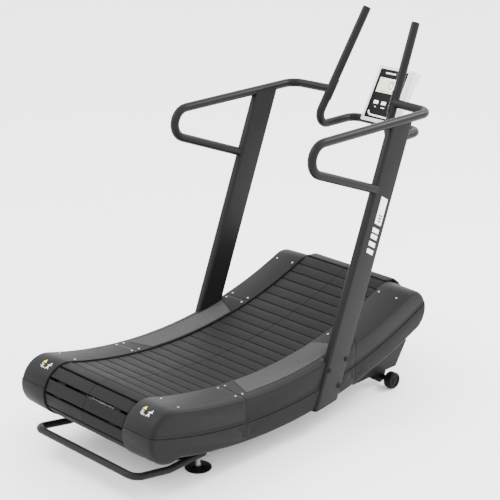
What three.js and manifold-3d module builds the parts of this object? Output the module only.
// Curved manual treadmill: a slatted belt loop on two drums, carried by two side
// frames, with covers, uprights, handrails, a grab handle frame and a console.
// Millimetres, +X to the user's right, +Y forwards, +Z up, floor at z = 0.
import * as THREE from 'three';
import { mergeVertices } from 'three/addons/utils/BufferGeometryUtils.js';
import Module from 'manifold-3d';

const wasm = await Module();
wasm.setup();

// ---- driving dimensions -------------------------------------------------
const GAP = 0.3;                    // clearance between touching pieces
// The running surface is one circular arc, seen from the side.
const ARC_Y = -252.5;
const ARC_Z = 2382.9;
const RUN_R = 2082.8;
const REAR_ANGLE = -15.97;          // where the arc meets the rear drum, degrees
const FRONT_ANGLE = 23.3;           // where it meets the front drum
const WRAP_R = 108.5;               // slat face radius around the drums
const PITCH = 60;                   // slat spacing along the belt
const SLAT_HALF = 236;              // half the slat length, across the machine
const SLAT_GAP = 4.6;               // between slats on the running surface
const SLAT_THICK = 9;
const BAND_THICK = 8;               // the two drive bands under the slats
const BAND_IN = 150;
const BAND_OUT = 190;
// Covers
const COVER_IN = 243;               // inner edge of the covers
const COVER_OUT = 403;              // outer face of the upper covers
const COVER_WALL = 4;
const COVER_PROUD = 5;              // covers stand above the slats
const SEAM_DROP = 110;              // seam below the running surface
const SEAM_GAP = 2.4;
const LOWER_PROUD = 1.5;            // the lower cover stands out past the upper one
const COVER_DEPTH = 200;            // underside below the running surface
const REAR_CAP_R = 113.5;
const NOSE_R = 103;
const NOSE_Y = 589.5;
const EDGE_ROUND = 18;
// Side frames
const PLATE_IN = 280;
const PLATE_OUT = 288;
// Uprights
const UPRIGHT_X = 394.5;
const UPRIGHT_THICK = 37;
const UPRIGHT_WIDE = 126;
const UPRIGHT_SLOPE = 0.389;        // forwards per unit of height
const UPRIGHT_Y = 425.5;            // centre line at UPRIGHT_Z
const UPRIGHT_Z = 1162;
// Tubes
const TUBE_R = 19;
const RAIL_X = 400;
const RAIL_Z = 1275;
const LIFT_R = 15;
const LIFT_X = 308;
const TUBE_SIDES = 12;
const TUBE_CLEAR = TUBE_R / Math.cos(Math.PI / TUBE_SIDES) + GAP;   // clears a faceted tube
// Feet and wheels
const FOOT_X = 265;
const FOOT_Y = -593;
const WHEEL_Y = 546;
const WHEEL_R = 38;
const WHEEL_IN = 314;
const WHEEL_OUT = 354;

const rad = THREE.MathUtils.degToRad;
const DRUM_DIST = RUN_R + WRAP_R;   // arc centre to either drum centre
const RETURN_R = RUN_R + 2 * WRAP_R;

/** Point at a distance and an angle from the arc's centre; angle 0 is straight down. */
function arcPoint(radius, degrees) {
  return [ARC_Y + radius * Math.sin(rad(degrees)), ARC_Z - radius * Math.cos(rad(degrees))];
}
const [REAR_Y, REAR_Z] = arcPoint(DRUM_DIST, REAR_ANGLE);
const [FRONT_Y, FRONT_Z] = arcPoint(DRUM_DIST, FRONT_ANGLE);

// ---- materials ------------------------------------------------------------
function finish(color, roughness, metalness) {
  return () => new THREE.MeshStandardMaterial({ color, roughness, metalness });
}
const charcoalPaint = finish(0x3a3b3d, 0.45, 0.1);
const charcoalPlastic = finish(0x343536, 0.5, 0);
const slatRubber = finish(0x3b3c3d, 0.7, 0);
const gritGrey = finish(0x77797b, 0.85, 0);
const blackPlastic = finish(0x141415, 0.5, 0);
const steel = finish(0xb9bbbd, 0.3, 1);
const silverPlastic = finish(0xd5d7d9, 0.4, 0.1);
const lcdGlass = finish(0xdfe3c8, 0.2, 0);
const whitePrint = finish(0xeeeeee, 0.5, 0);

// ---- solids ----------------------------------------------------------------
const treadmill = new THREE.Group();

/** Turns a three.js geometry into a manifold solid. */
function solid(geometry) {
  const bare = geometry.index ? geometry.toNonIndexed() : geometry.clone();
  bare.deleteAttribute('normal');
  bare.deleteAttribute('uv');
  const merged = mergeVertices(bare, 1e-4);
  return new wasm.Manifold(new wasm.Mesh({
    numProp: 3,
    vertProperties: new Float32Array(merged.attributes.position.array),
    triVerts: new Uint32Array(merged.index.array),
  }));
}

/** Adds one named piece, from a geometry or a solid. */
function add(name, shape, material) {
  let geometry = shape;
  if (!shape.isBufferGeometry) {
    const mesh = shape.getMesh();
    geometry = new THREE.BufferGeometry();
    geometry.setAttribute('position', new THREE.BufferAttribute(mesh.vertProperties, mesh.numProp));
    geometry.setIndex(new THREE.BufferAttribute(mesh.triVerts, 1));
    geometry.computeVertexNormals();
  }
  const piece = new THREE.Mesh(geometry, material());
  piece.name = name;
  treadmill.add(piece);
  return piece;
}

/** Mirrors a solid to the other side of the machine. */
const mirror = (body) => body.mirror([1, 0, 0]);

/** Adds a right-hand piece and its mirror image on the left. */
function addPair(name, body, material) {
  add(`${name}_right`, body, material);
  add(`${name}_left`, mirror(body), material);
}

const SIDE_VIEW = new THREE.Matrix4().makeBasis(
  new THREE.Vector3(0, 1, 0), new THREE.Vector3(0, 0, 1), new THREE.Vector3(1, 0, 0));

/** Extrudes a side-view outline (y, z) across the machine from x0 to x1. */
function across(shape, x0, x1, bevel = 0, curveSegments = 8) {
  const options = { depth: x1 - x0 - 2 * bevel, curveSegments, bevelEnabled: bevel > 0 };
  if (bevel) {
    options.bevelSize = bevel;
    options.bevelThickness = bevel;
    options.bevelOffset = -bevel;
    options.bevelSegments = 3;
  }
  const geometry = new THREE.ExtrudeGeometry(shape, options);
  geometry.translate(0, 0, x0 + bevel);
  return geometry.applyMatrix4(SIDE_VIEW);
}

/** Part of a ring around the arc's centre, between two radii and two angles. */
function sectorShape(r0, r1, a0, a1) {
  const shape = new THREE.Shape();
  const turn = -Math.PI / 2;
  shape.absarc(ARC_Y, ARC_Z, r1, rad(a0) + turn, rad(a1) + turn, false);
  shape.absarc(ARC_Y, ARC_Z, r0, rad(a1) + turn, rad(a0) + turn, true);
  shape.closePath();
  return shape;
}
function sector(r0, r1, a0, a1, x0, x1, steps = 8) {
  return across(sectorShape(r0, r1, a0, a1), x0, x1, 0, steps);
}

function polygon(points) {
  return new THREE.Shape(points.map(([a, b]) => new THREE.Vector2(a, b)));
}

function box(x0, x1, y0, y1, z0, z1) {
  const geometry = new THREE.BoxGeometry(x1 - x0, y1 - y0, z1 - z0);
  return geometry.translate((x0 + x1) / 2, (y0 + y1) / 2, (z0 + z1) / 2);
}

/** A round bar or disc along X. */
function roundX(radius, x0, x1, y, z, sides = 20) {
  const geometry = new THREE.CylinderGeometry(radius, radius, x1 - x0, sides);
  return geometry.rotateZ(Math.PI / 2).translate((x0 + x1) / 2, y, z);
}

/** A turned piece about X, from (x, radius) points. */
function turnedX(points, y, z, sides = 24) {
  const profile = points.map(([x, r]) => new THREE.Vector2(r, x));
  return new THREE.LatheGeometry(profile, sides).rotateZ(-Math.PI / 2).translate(0, y, z);
}

/** A turned piece about Z, from (radius, z) points. */
function turnedZ(points, x, y, sides = 24) {
  const profile = points.map(([r, z]) => new THREE.Vector2(r, z));
  return new THREE.LatheGeometry(profile, sides).rotateX(Math.PI / 2).translate(x, y, 0);
}

// ---- bent tubes ---------------------------------------------------------------
/** A tube's centre line: straights with a round bend at each inner corner. */
class BentLine extends THREE.Curve {
  constructor(corners, bend, bendSteps = 5) {
    super();
    const p = corners.map((c) => new THREE.Vector3(...c));
    this.points = [p[0]];
    this.tangents = [p[1].clone().sub(p[0]).normalize()];
    for (let i = 1; i < p.length - 1; i++) {
      const before = p[i].clone().sub(p[i - 1]).normalize();
      const after = p[i + 1].clone().sub(p[i]).normalize();
      const turn = before.angleTo(after);
      const start = p[i].clone().addScaledVector(before, -bend * Math.tan(turn / 2));
      const inward = after.clone().addScaledVector(before, -after.dot(before)).normalize();
      for (let k = 0; k <= bendSteps; k++) {
        const a = turn * k / bendSteps;
        const point = start.clone().addScaledVector(before, bend * Math.sin(a));
        this.points.push(point.addScaledVector(inward, bend * (1 - Math.cos(a))));
        const tangent = before.clone().multiplyScalar(Math.cos(a));
        this.tangents.push(tangent.addScaledVector(inward, Math.sin(a)));
      }
    }
    this.points.push(p[p.length - 1]);
    this.tangents.push(this.tangents[this.tangents.length - 1].clone());
  }
  get steps() { return this.points.length - 1; }
  getPointAt(u) { return this.points[Math.round(u * this.steps)].clone(); }
  getPoint(t) { return this.getPointAt(t); }
  getTangentAt(u) { return this.tangents[Math.round(u * this.steps)].clone(); }
  getSpacedPoints() { return this.points.map((p) => p.clone()); }
}

function tube(corners, radius, bend, sides = TUBE_SIDES) {
  const line = new BentLine(corners, bend);
  const ring = Array.from({ length: sides }, (_, i) => {
    const a = 2 * Math.PI * i / sides;
    return new THREE.Vector2(radius * Math.cos(a), radius * Math.sin(a));
  });
  return new THREE.ExtrudeGeometry(new THREE.Shape(ring), {
    steps: line.steps, extrudePath: line, bevelEnabled: false,
  });
}

// ---- belt loop ------------------------------------------------------------------
// Each stretch of the loop is slats on two drive bands, joined into one body.
const SLAT_WIDE = PITCH - SLAT_GAP;
const WRAP_SLAT_WIDE = 52;          // the gaps open up where the belt turns

/** One slat, face outwards at the origin, running along X. */
function slat(wide) {
  return solid(box(-SLAT_HALF, SLAT_HALF, -wide / 2, wide / 2, -SLAT_THICK, 0));
}

/** Slats at equal angles about an axis, on bands; inside = faces towards the axis. */
function beltStretch([y, z], radius, first, count, stepDegrees, wide, inside = false) {
  const sign = inside ? -1 : 1;
  let body = null;
  for (let i = 0; i < count; i++) {
    const a = first + (i + 0.5) * stepDegrees;
    const turn = inside ? a : a + 180;
    const py = y + radius * Math.sin(rad(a));
    const pz = z - radius * Math.cos(rad(a));
    const one = slat(wide).rotate([turn, 0, 0]).translate([0, py, pz]);
    body = body ? body.add(one) : one;
  }
  const last = first + count * stepDegrees;
  const nearR = radius - sign * (SLAT_THICK - 1);
  const farR = nearR - sign * BAND_THICK;
  const shape = new THREE.Shape();
  const turn = -Math.PI / 2;
  const trim = stepDegrees * 0.04;
  const [a0, a1] = [rad(first + trim) + turn, rad(last - trim) + turn];
  shape.absarc(y, z, Math.max(nearR, farR), a0, a1, false);
  shape.absarc(y, z, Math.min(nearR, farR), a1, a0, true);
  shape.closePath();
  for (const x0 of [BAND_IN, -BAND_OUT]) {
    body = body.add(solid(across(shape, x0, x0 + BAND_OUT - BAND_IN, 0, 6)));
  }
  return body;
}

// Where each stretch starts, in degrees about its own centre, its slats and their spacing.
const TOP_FIRST = -15.75;
const TOP_COUNT = 24;
const TOP_STEP = PITCH / RUN_R * 180 / Math.PI;
const WRAP_STEP = 32.6;
const FRONT_WRAP_FIRST = 28.8;
const FRONT_WRAP_COUNT = 5;
const REAR_WRAP_FIRST = -197.8;
const REAR_WRAP_COUNT = 6;
const RETURN_FIRST = -15.3;
const RETURN_COUNT = 26;
const RETURN_STEP = 1.492;
const ARC = [ARC_Y, ARC_Z];
const topRun = beltStretch(ARC, RUN_R, TOP_FIRST, TOP_COUNT, TOP_STEP, SLAT_WIDE, true);
const frontWrap = beltStretch(
  [FRONT_Y, FRONT_Z], WRAP_R, FRONT_WRAP_FIRST, FRONT_WRAP_COUNT, WRAP_STEP, WRAP_SLAT_WIDE);
const rearWrap = beltStretch(
  [REAR_Y, REAR_Z], WRAP_R, REAR_WRAP_FIRST, REAR_WRAP_COUNT, WRAP_STEP, WRAP_SLAT_WIDE);
const returnRun = beltStretch(ARC, RETURN_R, RETURN_FIRST, RETURN_COUNT, RETURN_STEP, SLAT_WIDE);
add('belt_top_run', topRun, slatRubber);
add('belt_front_wrap', frontWrap, slatRubber);
add('belt_rear_wrap', rearWrap, slatRubber);
add('belt_return_run', returnRun, slatRubber);

// ---- drums: shaft, two pulleys and two pillow blocks each ---------------------------
const SHAFT_R = 12.5;
const PULLEY_R = WRAP_R - SLAT_THICK - BAND_THICK - 2;
const PULLEY_BORE = SHAFT_R + GAP;
const BLOCK_IN = 240;

function drum(end, y, z) {
  add(`${end}_shaft`, roundX(SHAFT_R, -PLATE_OUT - 6, PLATE_OUT + 6, y, z), steel);
  const pulley = solid(turnedX([
    [BAND_IN - 4, PULLEY_BORE], [BAND_IN - 4, PULLEY_R + 4], [BAND_IN - 1, PULLEY_R + 4],
    [BAND_IN, PULLEY_R], [BAND_OUT, PULLEY_R], [BAND_OUT + 1, PULLEY_R + 4],
    [BAND_OUT + 4, PULLEY_R + 4], [BAND_OUT + 4, PULLEY_BORE], [BAND_IN - 4, PULLEY_BORE],
  ], y, z, 20));
  addPair(`${end}_pulley`, pulley, blackPlastic);
  const block = solid(roundX(34, BLOCK_IN, PLATE_IN - GAP, y, z))
    .subtract(solid(roundX(PULLEY_BORE, BLOCK_IN - 5, PLATE_IN + 5, y, z)));
  addPair(`${end}_bearing_block`, block, blackPlastic);
}
drum('rear', REAR_Y, REAR_Z);
drum('front', FRONT_Y, FRONT_Z);

// ---- side frames --------------------------------------------------------------------
const FRAME_TOP = RUN_R + 34;       // top edge of the plate, under the covers
const FRAME_LOW = RUN_R + 182;
const LEG_OUTLINE = [[300, 190], [332, 68], [629, 68], [699, 173], [655, 262], [600, 330], [500, 300]];
const BOSS_R = 46;
const HEEL_OUTLINE = [[-770, 200], [-750, 98], [-700, 88], [-540, 84], [-520, 150]];
const FOOT_BLOCK = 26;              // half the block that the foot's stud screws into
const STUD_BORE = 8.3;

function sideFrame() {
  const drums = [[REAR_Y, REAR_Z], [FRONT_Y, FRONT_Z]];
  let body = solid(sector(FRAME_TOP, FRAME_LOW, REAR_ANGLE, FRONT_ANGLE, PLATE_IN, PLATE_OUT, 12));
  drums.forEach(([y, z]) => {
    body = body.add(solid(roundX(BOSS_R, PLATE_IN, PLATE_OUT, y, z, 20)));
  });
  body = body.add(solid(across(polygon(LEG_OUTLINE), PLATE_IN, PLATE_OUT)));
  body = body.add(solid(across(polygon(HEEL_OUTLINE), PLATE_IN, PLATE_OUT)));
  body = body.add(solid(box(FOOT_X - 22, PLATE_IN + 1, FOOT_Y - FOOT_BLOCK, FOOT_Y + FOOT_BLOCK, 84, 108)));
  // Pad that the lift handle's tube is welded to.
  body = body.add(solid(box(PLATE_OUT - 1, LIFT_X - LIFT_R - GAP, -690, -604, 86, 98)));
  drums.forEach(([y, z]) => {
    body = body.subtract(solid(roundX(PULLEY_BORE, PLATE_IN - 5, PLATE_OUT + 5, y, z)));
  });
  const bore = turnedZ([[0, 60], [STUD_BORE, 60], [STUD_BORE, 120], [0, 120]], FOOT_X, FOOT_Y);
  return body.subtract(solid(bore));
}
addPair('side_frame', sideFrame(), charcoalPaint);

// Cross beams between the two side frames, inside the belt loop.
const BEAM_R = 22;
const BEAM_DROP = 108;
[['rear', -10.5], ['mid', 1.5], ['front', 15]].forEach(([where, angle]) => {
  const [y, z] = arcPoint(RUN_R + BEAM_DROP, angle);
  add(`${where}_cross_beam`, roundX(BEAM_R, -PLATE_IN + GAP, PLATE_IN - GAP, y, z), charcoalPaint);
});

// Support rollers under the slat ends, on stub axles fixed in the side frames.
const ROLLER_R = 17;
const ROLLER_IN = 200;
const ROLLER_OUT = 226;
const STUB_R = 6;
const ROLLER_ANGLES = [-7, 9];
ROLLER_ANGLES.forEach((angle, i) => {
  const [y, z] = arcPoint(RUN_R + SLAT_THICK + ROLLER_R + 0.6, angle);
  const roller = solid(turnedX([
    [ROLLER_IN, STUB_R + GAP], [ROLLER_IN, ROLLER_R - 2], [ROLLER_IN + 2, ROLLER_R],
    [ROLLER_OUT - 2, ROLLER_R], [ROLLER_OUT, ROLLER_R - 2], [ROLLER_OUT, STUB_R + GAP],
    [ROLLER_IN, STUB_R + GAP],
  ], y, z, 20));
  addPair(`support_roller_${i + 1}`, roller, blackPlastic);
});

/** Curved rail that carries the support rollers' stub axles. */
function rollerRail() {
  const [from, to] = [REAR_ANGLE + 3, FRONT_ANGLE - 3];
  let body = solid(sector(RUN_R + 16, RUN_R + 60, from, to, 266, PLATE_IN - GAP, 12));
  ROLLER_ANGLES.forEach((angle) => {
    const [y, z] = arcPoint(RUN_R + SLAT_THICK + ROLLER_R + 0.6, angle);
    body = body.add(solid(roundX(STUB_R, ROLLER_IN - 3, 270, y, z, 16)));
  });
  return body;
}
addPair('roller_rail', rollerRail(), charcoalPaint);

// ---- covers ------------------------------------------------------------------------------
const COVER_TOP_R = RUN_R - COVER_PROUD;
const NOSE_DIST = COVER_TOP_R + NOSE_R;
const NOSE_ANGLE = Math.asin((NOSE_Y - ARC_Y) / NOSE_DIST) * 180 / Math.PI;
const COVER_LOW_R = RUN_R + COVER_DEPTH;

/** Angle, seen from a cap's centre, at which its circle meets the cover's underside. */
function lowAngle(capDistance, capR) {
  const c = (COVER_LOW_R ** 2 - capDistance ** 2 - capR ** 2) / (2 * capDistance * capR);
  return Math.acos(c);
}

/** Side-view outline of a cover, drawn in by an inset. */
function coverShape(inset) {
  const shape = new THREE.Shape();
  const down = -Math.PI / 2;
  const rearDown = rad(REAR_ANGLE) + down;
  const noseDown = rad(NOSE_ANGLE) + down;
  const [noseY, noseZ] = arcPoint(NOSE_DIST, NOSE_ANGLE);
  const lowRear = lowAngle(DRUM_DIST, REAR_CAP_R);
  const lowNose = lowAngle(NOSE_DIST, NOSE_R);
  shape.absarc(REAR_Y, REAR_Z, REAR_CAP_R - inset, rearDown + lowRear, rearDown - Math.PI, true);
  shape.absarc(ARC_Y, ARC_Z, COVER_TOP_R + inset, rearDown, noseDown, false);
  shape.absarc(noseY, noseZ, NOSE_R - inset, noseDown + Math.PI, noseDown - lowNose, true);
  const angleFrom = (y, z, r, a) => Math.atan2(z + r * Math.sin(a) - ARC_Z, y + r * Math.cos(a) - ARC_Y);
  const lowFrom = angleFrom(noseY, noseZ, NOSE_R, noseDown - lowNose);
  const lowTo = angleFrom(REAR_Y, REAR_Z, REAR_CAP_R, rearDown + lowRear);
  shape.absarc(ARC_Y, ARC_Z, COVER_LOW_R - inset, lowFrom, lowTo, true);
  shape.closePath();
  return shape;
}

const UPRIGHT_LEAN = Math.atan(UPRIGHT_SLOPE);
/** A bar along the upright's line, cut level with the covers' underside. */
function uprightBar(thick, wide, round, low, high) {
  const shape = new THREE.Shape();
  const [a, b] = [thick / 2, wide / 2];
  shape.absarc(a - round, b - round, round, 0, Math.PI / 2, false);
  shape.absarc(-a + round, b - round, round, Math.PI / 2, Math.PI, false);
  shape.absarc(-a + round, -b + round, round, Math.PI, 1.5 * Math.PI, false);
  shape.absarc(a - round, -b + round, round, 1.5 * Math.PI, 2 * Math.PI, false);
  shape.closePath();
  const options = { depth: high - low, curveSegments: 2, bevelEnabled: false };
  const bar = new THREE.ExtrudeGeometry(shape, options);
  bar.translate(0, 0, low).rotateX(-UPRIGHT_LEAN).translate(UPRIGHT_X, UPRIGHT_Y, UPRIGHT_Z);
  return solid(bar);
}
const uprightSlot = uprightBar(UPRIGHT_THICK + 2, UPRIGHT_WIDE + 4, 12, -1200, 100);

const SEAM_R = RUN_R + SEAM_DROP;
const WIDE_REAR = REAR_ANGLE - 8;
const WIDE_FRONT = FRONT_ANGLE + 8;
const coverBlank = (inset, x0, x1, bevel) => solid(across(coverShape(inset), x0, x1, bevel));
const cutInner = solid(box(COVER_IN - 60, COVER_IN, -1100, 900, 0, 900));
const besideSeam = (r0, r1) => solid(sector(r0, r1, WIDE_REAR, WIDE_FRONT, 200, 420, 12));
const aboveSeam = besideSeam(SEAM_R - 320, SEAM_R - SEAM_GAP / 2);
const belowSeam = besideSeam(SEAM_R + SEAM_GAP / 2, SEAM_R + 220);

// Each upright stands in a pocket of the covers; the pocket has a wall of its own.
const pocketBlock = uprightBar(UPRIGHT_THICK + 12, UPRIGHT_WIDE + 14, 14, -1200, 100);

/** Cuts the openings for the drum shafts and their bearing blocks. */
function withWells(body) {
  return body
    .subtract(solid(roundX(40, COVER_IN - 7, PLATE_OUT + 8, REAR_Y, REAR_Z)))
    .subtract(solid(roundX(40, COVER_IN - 7, PLATE_OUT + 8, FRONT_Y, FRONT_Z)));
}

function upperCover() {
  const inner = COVER_IN + COVER_WALL;
  const blank = coverBlank(0, COVER_IN - 50, COVER_OUT, EDGE_ROUND).subtract(cutInner);
  const shell = blank
    .subtract(coverBlank(COVER_WALL, inner, COVER_OUT - COVER_WALL, EDGE_ROUND - COVER_WALL))
    .subtract(coverBlank(20, COVER_IN - 5, inner + 20, 0))
    .add(blank.intersect(pocketBlock));
  return withWells(shell.intersect(aboveSeam).subtract(uprightSlot));
}
function lowerCover() {
  const outer = COVER_OUT + 2;
  const inset = COVER_WALL - LOWER_PROUD;
  const [from, to] = [REAR_ANGLE + 2.6, NOSE_ANGLE - 2.6];
  const opening = solid(sector(COVER_LOW_R - 12, COVER_LOW_R + 12, from, to, COVER_IN - 5, outer - 22));
  const legSlot = solid(sector(COVER_LOW_R - 30, COVER_LOW_R + 12, 17, 25, PLATE_IN - 5, PLATE_OUT + 5));
  const blank = coverBlank(-LOWER_PROUD, COVER_IN - 50, outer, EDGE_ROUND).subtract(cutInner);
  const shell = blank
    .subtract(coverBlank(inset, COVER_IN - 60, outer - COVER_WALL, EDGE_ROUND - COVER_WALL))
    .subtract(opening)
    .subtract(legSlot)
    .add(blank.intersect(pocketBlock));
  return withWells(shell.intersect(belowSeam).subtract(uprightSlot));
}
// The upper cover is three panels on each side, with a screw on each side of a joint.
const PANEL_JOINTS = [-458, 204];
const JOINT_GAP = 1.2;
const upper = upperCover();
['rear', 'mid', 'front'].forEach((where, i) => {
  const from = i ? PANEL_JOINTS[i - 1] + JOINT_GAP / 2 : -1100;
  const to = i < 2 ? PANEL_JOINTS[i] - JOINT_GAP / 2 : 900;
  const panel = upper.intersect(solid(box(200, 450, from, to, 0, 900)));
  addPair(`upper_cover_${where}`, panel, charcoalPlastic);
});
addPair('lower_cover', lowerCover(), charcoalPlastic);

// Grip strips on the deck beside the belt; the ends are cut at a slant.
const STRIP_IN = 250;
const STRIP_OUT = 362;
const STRIP_THICK = 1.2;
function treadStrip() {
  const plan = polygon([[STRIP_IN, -374], [STRIP_OUT, -413], [STRIP_OUT, 154], [STRIP_IN, 97]]);
  const prism = new THREE.ExtrudeGeometry(plan, { depth: 200, bevelEnabled: false });
  prism.translate(0, 0, 250);
  return coverBlank(-GAP - STRIP_THICK, STRIP_IN - 1, STRIP_OUT + 1, 0)
    .subtract(coverBlank(-GAP, STRIP_IN - 2, STRIP_OUT + 2, 0))
    .intersect(solid(prism)).subtract(uprightSlot);
}
addPair('tread_strip', treadStrip(), gritGrey);

// ---- uprights and handrails ------------------------------------------------------------------
const railCorners = (() => {
  const loopR = 67;
  const loopY = -17;
  const loopZ = RAIL_Z - loopR;
  const away = [-Math.cos(UPRIGHT_LEAN), Math.sin(UPRIGHT_LEAN)];
  const tangent = [loopY - loopR * away[1], loopZ + loopR * away[0]];
  const corner = (RAIL_Z - tangent[1]) / away[1];
  const reach = 380;
  return {
    low: [RAIL_X, tangent[0] - reach * away[0], tangent[1] - reach * away[1]],
    rear: [RAIL_X, tangent[0] + corner * away[0], RAIL_Z],
    loopR,
  };
})();
const FRONT_CORNER = [RAIL_X, 659, RAIL_Z];
const RAIL_END = [187, 678, RAIL_Z - 1];
const RIGHT_TOP = [148.7, 855.7, 1595.4];
const LEFT_TOP = [-145.2, 871.8, 1625.1];      // the left grab handle stands a little taller
const HANDLE_HEEL = [206, 591, 1110];
const HANDLE_TOE = [194, 852, 1113];

function railTube(radius) {
  const { low, rear, loopR } = railCorners;
  const loop = tube([low, rear, [RAIL_X, 200, RAIL_Z]], radius, loopR);
  const front = tube([[RAIL_X, 199.5, RAIL_Z], FRONT_CORNER, RAIL_END], radius, 62);
  return solid(loop).add(solid(front));
}
const left = ([x, y, z]) => [-x, y, z];
const handlePath = [RIGHT_TOP, HANDLE_HEEL, HANDLE_TOE, left(HANDLE_TOE), left(HANDLE_HEEL), LEFT_TOP];
const handleTube = (radius) => solid(tube(handlePath, radius, 52));

const belowDeck = solid(sector(COVER_LOW_R, COVER_LOW_R + 400, -20, 35, 300, 480, 12));
const upright = uprightBar(UPRIGHT_THICK, UPRIGHT_WIDE, 12, -1300, 180)
  .subtract(uprightBar(UPRIGHT_THICK - 6, UPRIGHT_WIDE - 6, 9, -1400, 300))
  .subtract(belowDeck)
  .subtract(solid(box(340, 450, 300, 700, RAIL_Z, 1600)))
  .subtract(railTube(TUBE_CLEAR));
addPair('upright', upright, charcoalPaint);
const railClear = uprightBar(UPRIGHT_THICK + 2 * GAP, UPRIGHT_WIDE + 2 * GAP, 12, -1300, -40);
addPair('handrail', railTube(TUBE_R).subtract(railClear).subtract(handleTube(TUBE_CLEAR)), charcoalPaint);
add('grab_handle_frame', handleTube(TUBE_R), charcoalPaint);

// ---- console ---------------------------------------------------------------------------------------
// Built in its own plane: u across, v up the face, w out towards the user.
const CONSOLE_TILT = Math.atan2(116.8, 203.5);
const FACE_LOW = [0, 790.5, 1145.4];
function place(geometry) {
  return geometry.rotateX(Math.PI / 2 - CONSOLE_TILT).translate(...FACE_LOW);
}
const FACE_W = 160;
const FACE_H = 235;
const HOUSING_HALF = 104;
const HOUSING_TOP = 252;
/** Block in the console's plane, from u0 to u1, v0 to v1 and w0 to w1. */
function consoleBlock(u0, u1, v0, v1, w0, w1) {
  return place(box(u0, u1, v0, v1, w0, w1));
}
const RIM_DROP = 14;
/** Silver housing: a bevelled rim in front of a wedge that is deeper at the top. */
function consoleHousing() {
  const front = FACE_W / 2 + 1;
  const rim = new THREE.BufferGeometry();
  /** Four corners of one level, from its half width, its two heights and its two depths. */
  const level = (half, v0, v1, w0, w1) => [
    [-half, v0, w0], [half, v0, w0], [half, v1, w1], [-half, v1, w1],
  ];
  const corners = [
    ...level(front, -1, FACE_H + 1, 0, 0),
    ...level(HOUSING_HALF, -12, HOUSING_TOP, -RIM_DROP, -RIM_DROP),
    ...level(HOUSING_HALF, -12, HOUSING_TOP, -34, -64),
  ];
  const quads = [
    [0, 1, 2, 3], [4, 5, 1, 0], [5, 6, 2, 1], [6, 7, 3, 2], [7, 4, 0, 3],
    [8, 9, 5, 4], [9, 10, 6, 5], [10, 11, 7, 6], [11, 8, 4, 7], [11, 10, 9, 8],
  ];
  rim.setAttribute('position', new THREE.Float32BufferAttribute(corners.flat(), 3));
  rim.setIndex(quads.flatMap(([a, b, c, d]) => [a, b, c, a, c, d]));
  return solid(place(rim)).subtract(solid(consoleBlock(-FACE_W / 2, FACE_W / 2, 0, FACE_H, -6, 5)));
}
add('console_housing', consoleHousing(), silverPlastic);
const LCD = { u: 66, v0: 124, v1: 194 };
const BUTTONS = [-41, 3, 47];
const BUTTON_V = 76;
const FACE_HALF = FACE_W / 2 - GAP;
let face = solid(consoleBlock(-FACE_HALF, FACE_HALF, GAP, FACE_H - GAP, -6 + GAP, -1));
face = face.subtract(solid(consoleBlock(-LCD.u - GAP, LCD.u + GAP, LCD.v0 - GAP, LCD.v1 + GAP, -3, 2)));
BUTTONS.forEach((u) => {
  const well = consoleBlock(u - 13.5, u + 13.5, BUTTON_V - 8.5, BUTTON_V + 8.5, -4.2, 2);
  face = face.subtract(solid(well));
});
add('console_face', face, blackPlastic);
add('console_display', consoleBlock(-LCD.u, LCD.u, LCD.v0, LCD.v1, -2.7, -0.7), lcdGlass);
['left', 'middle', 'right'].forEach((where, i) => {
  const u = BUTTONS[i];
  add(`console_button_${where}`,
    consoleBlock(u - 13, u + 13, BUTTON_V - 8, BUTTON_V + 8, -2.6, 0.4), whitePrint);
});
// Bracket from the grab handle frame's cross bar up to the back of the console.
const bracketSide = polygon([[-9, -35], [56, -42.4], [56, -66], [-9, -66]]);
const bracket = solid(place(across(bracketSide, -34, 34)))
  .subtract(solid(tube([[-200, 852, 1113], [200, 852, 1113]], TUBE_CLEAR, 1)));
add('console_bracket', bracket, charcoalPaint);

// ---- lift handle, feet and wheels -----------------------------------------------------------------------
const liftSide = [[LIFT_X, -600, 90], [LIFT_X, -788, 82], [LIFT_X, -966.9, 113.5]];
const liftPath = [...liftSide, ...liftSide.map(left).reverse()];
add('rear_lift_handle', tube(liftPath, LIFT_R, 42), charcoalPaint);

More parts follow.
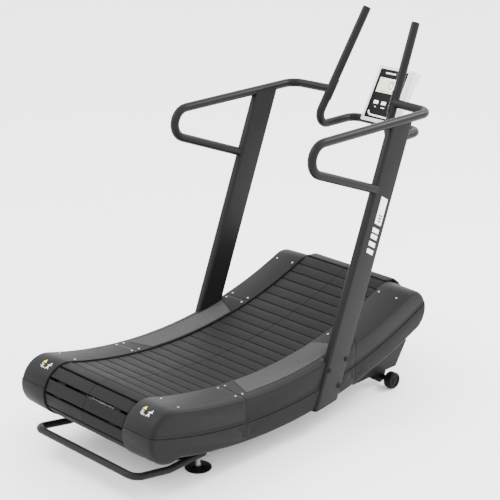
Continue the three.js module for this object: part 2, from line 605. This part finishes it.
const padProfile = [[0, 0], [52.5, 0], [55, 3], [55, 6], [50, 9], [14, 12], [0, 12]];
addPair('foot_pad', solid(turnedZ(padProfile, FOOT_X, FOOT_Y)), blackPlastic);
const studProfile = [[0, 12 + GAP], [8, 12 + GAP], [8, 101], [0, 101]];
addPair('foot_stud', solid(turnedZ(studProfile, FOOT_X, FOOT_Y, 16)), steel);

const AXLE_R = 6;
const AXLE_BORE = AXLE_R + GAP;
const bracketPlate = polygon([
  [446, 110], [446, 66], [457, 59], [529, 14], [556, 19], [568, 62], [620, 66], [620, 110],
]);
// A plate inside the side frame, with a long boss that spaces the wheel out.
const wheelBracket = solid(across(bracketPlate, PLATE_IN - GAP - 6, PLATE_IN - GAP))
  .add(solid(roundX(12, PLATE_IN - GAP - 3, WHEEL_IN - GAP, WHEEL_Y, WHEEL_R)))
  .subtract(solid(roundX(AXLE_BORE, 260, WHEEL_IN + 5, WHEEL_Y, WHEEL_R)));
addPair('wheel_bracket', wheelBracket, blackPlastic);
const axle = solid(roundX(AXLE_R, PLATE_IN - 14, WHEEL_OUT - 8, WHEEL_Y, WHEEL_R, 16));
addPair('wheel_axle', axle, steel);
const wheel = solid(turnedX([
  [WHEEL_IN, AXLE_BORE], [WHEEL_IN, WHEEL_R - 8], [WHEEL_IN + 3, WHEEL_R - 3], [WHEEL_IN + 8, WHEEL_R],
  [WHEEL_OUT - 8, WHEEL_R], [WHEEL_OUT - 3, WHEEL_R - 3], [WHEEL_OUT, WHEEL_R - 8],
  [WHEEL_OUT, 22], [WHEEL_OUT - 4, 19], [WHEEL_OUT - 4, 13], [WHEEL_OUT, 11],
  [WHEEL_OUT, 0], [WHEEL_OUT - 8 + GAP, 0], [WHEEL_OUT - 8 + GAP, AXLE_BORE], [WHEEL_IN, AXLE_BORE],
], WHEEL_Y, WHEEL_R, 24));
addPair('transport_wheel', wheel, blackPlastic);

// The origin is at floor level, under the middle of the machine's footprint.
const bounds = new THREE.Box3().setFromObject(treadmill);
treadmill.position.y = -(bounds.min.y + bounds.max.y) / 2;
treadmill.updateMatrixWorld(true);

export default treadmill;
